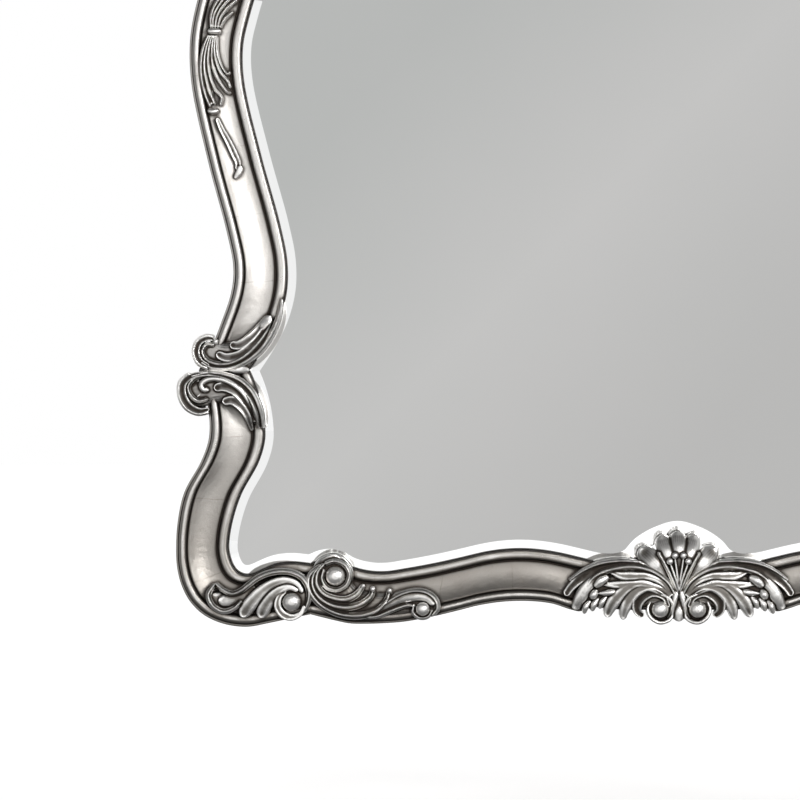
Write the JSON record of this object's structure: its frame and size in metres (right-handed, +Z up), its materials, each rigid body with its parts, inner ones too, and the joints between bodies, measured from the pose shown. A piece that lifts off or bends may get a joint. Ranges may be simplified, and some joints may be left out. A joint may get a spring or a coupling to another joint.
{
  "type": "framed wall mirror",
  "caption": "Shaped, bevelled wall mirror in a carved and silvered rococo frame, hung on the wall by folding D-rings on its back.",
  "frame": {"origin": "on the wall plane, on the centre line, at the height where the raised hanging rings bear on their wall hooks", "axes": "+Z up, +X to the viewer's right, the mirror faces -Y and the wall is at y = 0 behind it"},
  "size_m": [1.2042, 0.054, 1.0843],
  "materials": {
    "silver_leaf": "satin",
    "mirror_glass": "polished",
    "hardboard": "matte",
    "beech": "matte",
    "felt": "matte",
    "zinc_steel": "satin",
    "brass": "satin",
    "rubber": "matte"
  },
  "bodies": {
    "mirror": {"bottom_rail": "silver_leaf", "top_rail": "silver_leaf", "bottom_shell": "silver_leaf", "crest_shell": "silver_leaf", "upper_stile_left": "silver_leaf", "lower_stile_left": "silver_leaf", "bottom_wing_left": "silver_leaf", "rail_scroll_left": "silver_leaf", "corner_leaf_left": "silver_leaf", "lower_clasp_left": "silver_leaf", "upper_clasp_left": "silver_leaf", "husk_left": "silver_leaf", "ribbon_left": "silver_leaf", "shoulder_scroll_left": "silver_leaf", "crest_wing_left": "silver_leaf", "upper_stile_right": "silver_leaf", "lower_stile_right": "silver_leaf", "bottom_wing_right": "silver_leaf", "rail_scroll_right": "silver_leaf", "corner_leaf_right": "silver_leaf", "lower_clasp_right": "silver_leaf", "upper_clasp_right": "silver_leaf", "husk_right": "silver_leaf", "ribbon_right": "silver_leaf", "shoulder_scroll_right": "silver_leaf", "crest_wing_right": "silver_leaf", "mirror_glass": "mirror_glass", "rebate_felt": "felt", "backing_board": "hardboard", "shoulder_dowel_left": "beech", "clasp_dowel_left": "beech", "corner_dowel_left": "beech", "turn_screw_bottom_left": "zinc_steel", "turn_screw_side_left": "zinc_steel", "turn_screw_top_left": "zinc_steel", "hanger_strap_left": "zinc_steel", "hanger_screw_left_1": "zinc_steel", "hanger_screw_left_2": "zinc_steel", "bumper_top_left": "rubber", "bumper_bottom_left": "rubber", "shoulder_dowel_right": "beech", "clasp_dowel_right": "beech", "corner_dowel_right": "beech", "turn_screw_bottom_right": "zinc_steel", "turn_screw_side_right": "zinc_steel", "turn_screw_top_right": "zinc_steel", "hanger_strap_right": "zinc_steel", "hanger_screw_right_1": "zinc_steel", "hanger_screw_right_2": "zinc_steel", "bumper_top_right": "rubber", "bumper_bottom_right": "rubber"},
    "ring_left": {"hanger_ring_left": "zinc_steel"},
    "button_bottom_left": {"turn_button_bottom_left": "brass"},
    "button_side_left": {"turn_button_side_left": "brass"},
    "button_top_left": {"turn_button_top_left": "brass"},
    "ring_right": {"hanger_ring_right": "zinc_steel"},
    "button_bottom_right": {"turn_button_bottom_right": "brass"},
    "button_side_right": {"turn_button_side_right": "brass"},
    "button_top_right": {"turn_button_top_right": "brass"}
  },
  "joints": [
    {"name": "ring_left_fold", "type": "hinge", "parent": "mirror", "child": "ring_left", "pos_m": [-0.552, -0.0054, -0.018], "axis": [1, 0, 0], "range_deg": [0, 180]},
    {"name": "button_bottom_left_turn", "type": "hinge", "parent": "mirror", "child": "button_bottom_left", "pos_m": [-0.23205, -0.0097, -0.64387], "axis": [0, 1, 0], "range_deg": [-90, 90]},
    {"name": "button_side_left_turn", "type": "hinge", "parent": "mirror", "child": "button_side_left", "pos_m": [-0.49532, -0.0097, -0.23505], "axis": [0, 1, 0], "range_deg": [-90, 90]},
    {"name": "button_top_left_turn", "type": "hinge", "parent": "mirror", "child": "button_top_left", "pos_m": [-0.28295, -0.0097, 0.17177], "axis": [0, 1, 0], "range_deg": [-90, 90]},
    {"name": "ring_right_fold", "type": "hinge", "parent": "mirror", "child": "ring_right", "pos_m": [0.552, -0.0054, -0.018], "axis": [1, 0, 0], "range_deg": [0, 180]},
    {"name": "button_bottom_right_turn", "type": "hinge", "parent": "mirror", "child": "button_bottom_right", "pos_m": [0.23205, -0.0097, -0.64387], "axis": [0, 1, 0], "range_deg": [-90, 90]},
    {"name": "button_side_right_turn", "type": "hinge", "parent": "mirror", "child": "button_side_right", "pos_m": [0.49532, -0.0097, -0.23505], "axis": [0, 1, 0], "range_deg": [-90, 90]},
    {"name": "button_top_right_turn", "type": "hinge", "parent": "mirror", "child": "button_top_right", "pos_m": [0.28295, -0.0097, 0.17177], "axis": [0, 1, 0], "range_deg": [-90, 90]}
  ]
}
